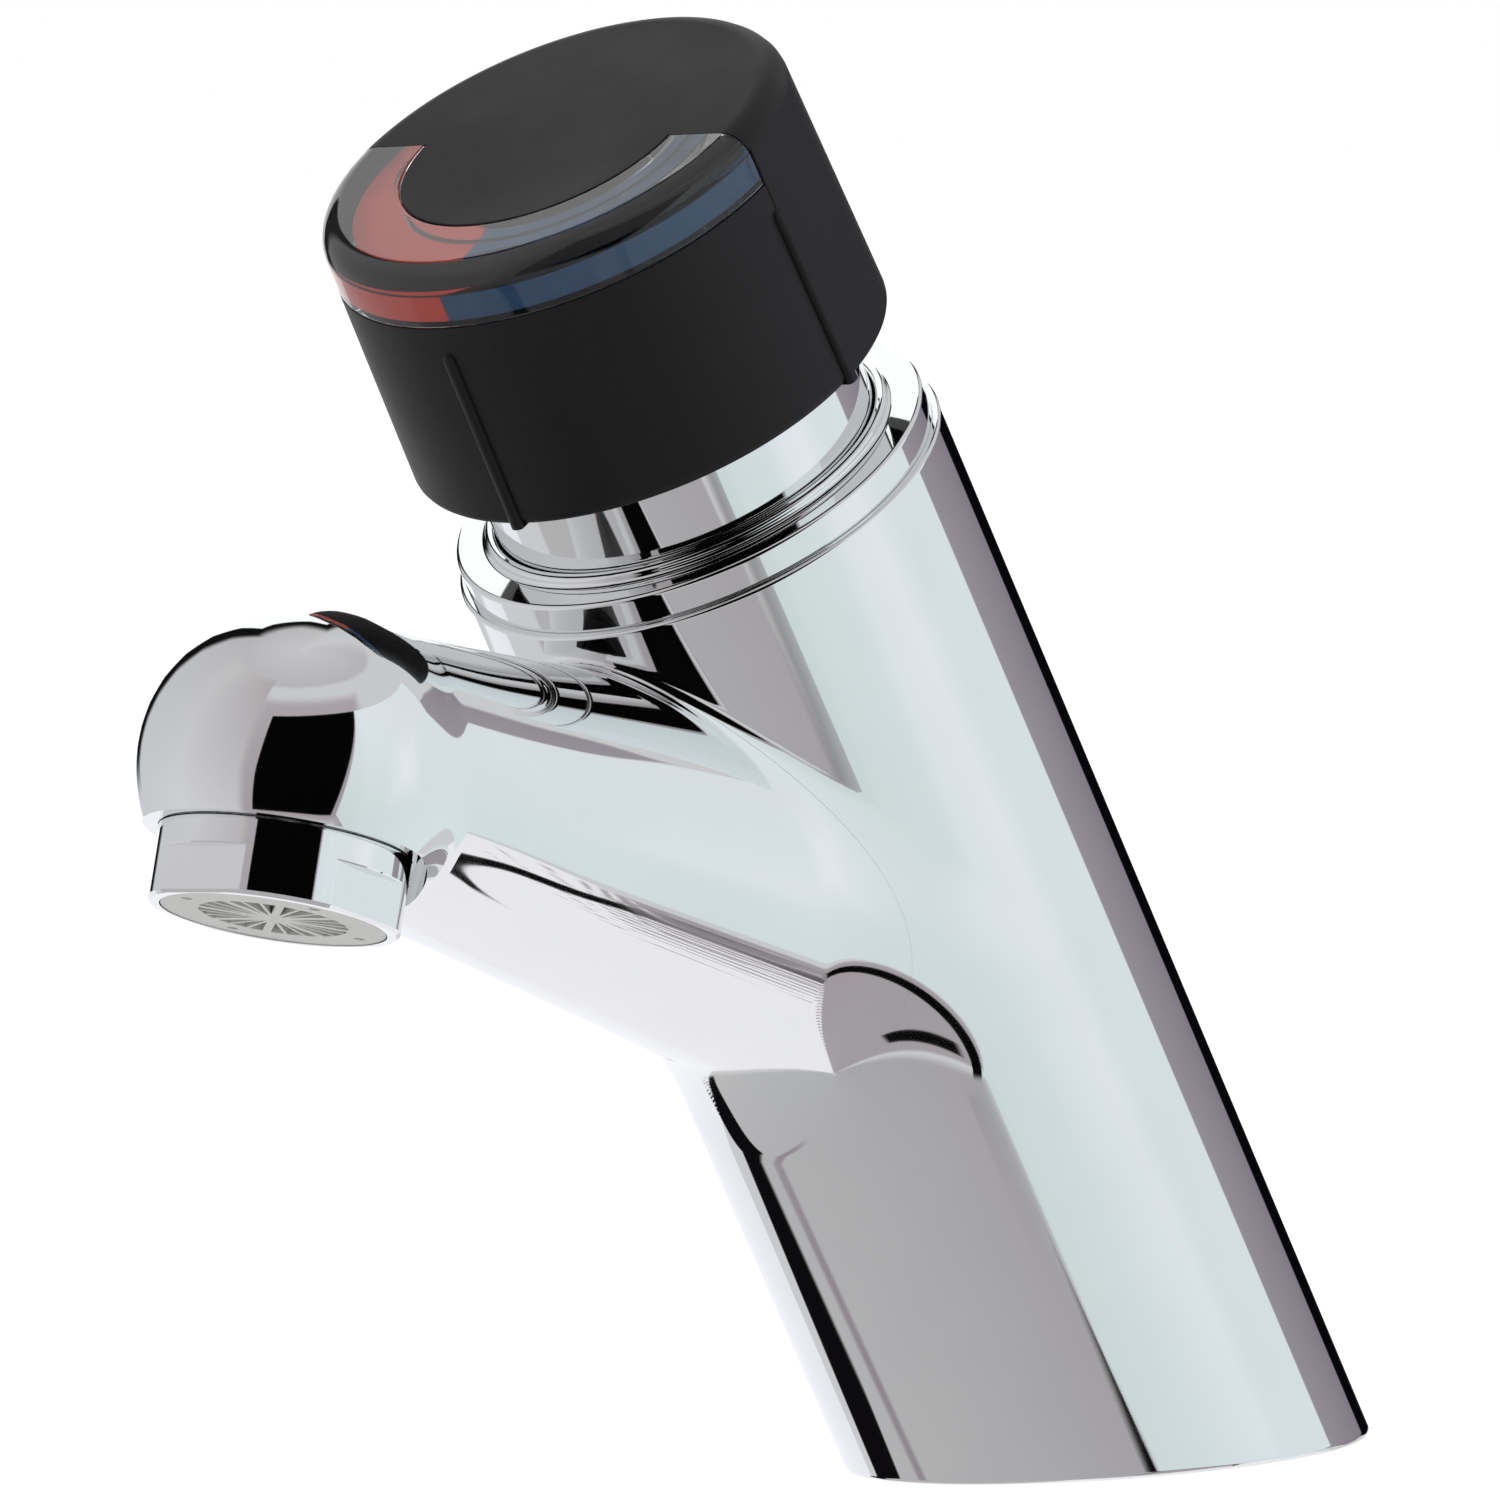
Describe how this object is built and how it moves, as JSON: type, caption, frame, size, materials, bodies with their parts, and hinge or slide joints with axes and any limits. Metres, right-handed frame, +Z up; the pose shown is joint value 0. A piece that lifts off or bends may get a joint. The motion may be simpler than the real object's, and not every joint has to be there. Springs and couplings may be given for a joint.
{
  "type": "push timed basin tap",
  "caption": "Single-hole basin tap with a leaning body, short spout, aerator and a push cap that times the flow and turns to set the temperature.",
  "frame": {"origin": "centre of the base on the basin, at the mouth of the stud hole", "axes": "+Z up, spout towards -Y, X across the tap"},
  "size_m": [0.0502, 0.1633, 0.1463],
  "materials": {
    "chrome": "polished chrome plating",
    "brass": "machined",
    "black_abs": "fine grain",
    "clear_plastic": "clear moulding",
    "red_print": "printed",
    "blue_print": "printed",
    "white_pom": "moulded",
    "black_pom": "moulded",
    "ceramic": "lapped",
    "rubber": "moulded",
    "steel": "plain"
  },
  "bodies": {
    "tap_body": {"body_casting": "chrome", "collar_nut": "chrome", "aerator_housing": "chrome", "inlet_block": "brass", "cartridge_housing": "brass", "cartridge_nut": "brass", "return_spring": "steel", "block_screw_set": "steel", "aerator_screen": "steel", "feed_strainers": "steel", "check_valves": "white_pom", "cartridge_base": "white_pom", "flow_regulator": "white_pom", "aerator_filter": "white_pom", "aerator_star": "white_pom", "guide_bush": "white_pom", "fixed_disc": "ceramic", "base_gasket": "rubber", "inlet_seals": "rubber", "port_seals": "rubber", "housing_seals": "rubber", "sleeve_wiper": "rubber", "outlet_washer": "rubber", "stem_seal": "rubber"},
    "selector": {"mixing_disc": "ceramic", "disc_carrier": "white_pom"},
    "button": {"push_cap": "black_abs", "cap_window": "clear_plastic", "hot_crescent": "red_print", "cold_crescent": "blue_print", "hot_band": "red_print", "cold_band": "blue_print", "push_sleeve": "chrome", "push_hub": "brass", "hub_screw": "steel", "cap_screws": "steel", "push_stem": "steel", "valve_washer": "rubber", "washer_nut": "steel", "timing_piston": "black_pom", "piston_seal": "rubber", "metering_pin": "steel", "stem_clip": "steel"}
  },
  "joints": [
    {"name": "temperature_turn", "type": "hinge", "parent": "tap_body", "child": "selector", "pos_m": [0, 0, 0], "axis": [0, -0.5, 0.866], "range_deg": [-45, 45]},
    {"name": "button_push", "type": "slide", "parent": "selector", "child": "button", "axis": [0, 0.5, -0.866], "range_m": [0, 0.006], "stiffness_N_per_m": 1500, "springref_m": -0.012, "deforming": ["return_spring"]}
  ]
}
